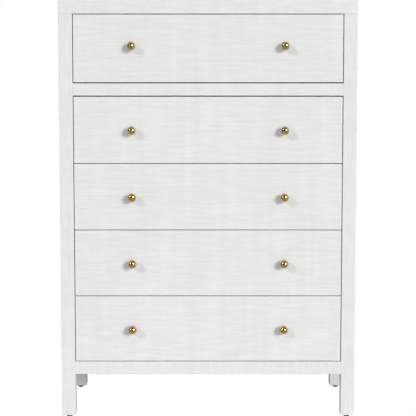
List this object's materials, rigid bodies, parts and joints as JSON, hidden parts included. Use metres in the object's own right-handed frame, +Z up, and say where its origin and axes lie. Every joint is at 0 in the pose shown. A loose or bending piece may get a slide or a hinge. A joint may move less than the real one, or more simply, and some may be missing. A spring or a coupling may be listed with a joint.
{
  "type": "tall chest of drawers",
  "caption": "Tall white post-and-rail chest of full-width drawers on short square legs, with two brass ball knobs on each drawer and full-extension ball-bearing slides.",
  "frame": {"origin": "on the floor, under the middle of the box that holds the whole chest, knobs included", "axes": "+Z up, the front and the knobs face -Y, +X to the right of a person facing the front"},
  "size_m": [0.914, 0.476, 1.2979],
  "materials": {
    "white_wood": "white satin paint over a fine straight grain",
    "inner_wood": "bare sanded hardwood",
    "back_board": "bare thin plywood",
    "drawer_wood": "clear-lacquered pale hardwood",
    "drawer_board": "clear-lacquered thin plywood",
    "dowel_wood": "bare turned beech",
    "brass": "satin lacquered brass",
    "zinc_steel": "bright zinc plate",
    "black_plastic": "black moulded nylon"
  },
  "bodies": {
    "case": {"top_panel": "white_wood", "left_front_post": "white_wood", "right_front_post": "white_wood", "left_rear_post": "white_wood", "right_rear_post": "white_wood", "left_side_panel": "white_wood", "right_side_panel": "white_wood", "mid_front_rail": "white_wood", "bottom_front_rail": "white_wood", "top_rear_rail": "inner_wood", "bottom_rear_rail": "inner_wood", "mid_divider_panel": "inner_wood", "bottom_panel": "inner_wood", "back_panel": "back_board", "left_case_rails": "zinc_steel", "right_case_rails": "zinc_steel", "frame_dowels": "dowel_wood", "slide_screws": "zinc_steel", "back_panel_screws": "zinc_steel", "glides": "black_plastic"},
    "drawer_1": {"drawer_1_front": "white_wood", "drawer_1_left_side": "drawer_wood", "drawer_1_right_side": "drawer_wood", "drawer_1_back": "drawer_wood", "drawer_1_bottom": "drawer_board", "drawer_1_knobs": "brass", "drawer_1_inner_rails": "zinc_steel"},
    "drawer_1_slide_middles": {"drawer_1_middle_rails": "zinc_steel"},
    "drawer_2": {"drawer_2_front": "white_wood", "drawer_2_left_side": "drawer_wood", "drawer_2_right_side": "drawer_wood", "drawer_2_back": "drawer_wood", "drawer_2_bottom": "drawer_board", "drawer_2_knobs": "brass", "drawer_2_inner_rails": "zinc_steel"},
    "drawer_2_slide_middles": {"drawer_2_middle_rails": "zinc_steel"},
    "drawer_3": {"drawer_3_front": "white_wood", "drawer_3_left_side": "drawer_wood", "drawer_3_right_side": "drawer_wood", "drawer_3_back": "drawer_wood", "drawer_3_bottom": "drawer_board", "drawer_3_knobs": "brass", "drawer_3_inner_rails": "zinc_steel"},
    "drawer_3_slide_middles": {"drawer_3_middle_rails": "zinc_steel"},
    "drawer_4": {"drawer_4_front": "white_wood", "drawer_4_left_side": "drawer_wood", "drawer_4_right_side": "drawer_wood", "drawer_4_back": "drawer_wood", "drawer_4_bottom": "drawer_board", "drawer_4_knobs": "brass", "drawer_4_inner_rails": "zinc_steel"},
    "drawer_4_slide_middles": {"drawer_4_middle_rails": "zinc_steel"},
    "drawer_5": {"drawer_5_front": "white_wood", "drawer_5_left_side": "drawer_wood", "drawer_5_right_side": "drawer_wood", "drawer_5_back": "drawer_wood", "drawer_5_bottom": "drawer_board", "drawer_5_knobs": "brass", "drawer_5_inner_rails": "zinc_steel"},
    "drawer_5_slide_middles": {"drawer_5_middle_rails": "zinc_steel"}
  },
  "joints": [
    {"name": "drawer_1_slide", "type": "slide", "parent": "case", "child": "drawer_1", "axis": [0, -1, 0], "range_m": [0, 0.4]},
    {"name": "drawer_1_middle_slide", "type": "slide", "parent": "case", "child": "drawer_1_slide_middles", "axis": [0, -1, 0], "range_m": [0, 0.2]},
    {"name": "drawer_2_slide", "type": "slide", "parent": "case", "child": "drawer_2", "axis": [0, -1, 0], "range_m": [0, 0.4]},
    {"name": "drawer_2_middle_slide", "type": "slide", "parent": "case", "child": "drawer_2_slide_middles", "axis": [0, -1, 0], "range_m": [0, 0.2]},
    {"name": "drawer_3_slide", "type": "slide", "parent": "case", "child": "drawer_3", "axis": [0, -1, 0], "range_m": [0, 0.4]},
    {"name": "drawer_3_middle_slide", "type": "slide", "parent": "case", "child": "drawer_3_slide_middles", "axis": [0, -1, 0], "range_m": [0, 0.2]},
    {"name": "drawer_4_slide", "type": "slide", "parent": "case", "child": "drawer_4", "axis": [0, -1, 0], "range_m": [0, 0.4]},
    {"name": "drawer_4_middle_slide", "type": "slide", "parent": "case", "child": "drawer_4_slide_middles", "axis": [0, -1, 0], "range_m": [0, 0.2]},
    {"name": "drawer_5_slide", "type": "slide", "parent": "case", "child": "drawer_5", "axis": [0, -1, 0], "range_m": [0, 0.4]},
    {"name": "drawer_5_middle_slide", "type": "slide", "parent": "case", "child": "drawer_5_slide_middles", "axis": [0, -1, 0], "range_m": [0, 0.2]}
  ],
  "couplings": [
    {"joint": "drawer_1_middle_slide", "follows": "drawer_1_slide", "ratio": 0.5},
    {"joint": "drawer_2_middle_slide", "follows": "drawer_2_slide", "ratio": 0.5},
    {"joint": "drawer_3_middle_slide", "follows": "drawer_3_slide", "ratio": 0.5},
    {"joint": "drawer_4_middle_slide", "follows": "drawer_4_slide", "ratio": 0.5},
    {"joint": "drawer_5_middle_slide", "follows": "drawer_5_slide", "ratio": 0.5}
  ]
}
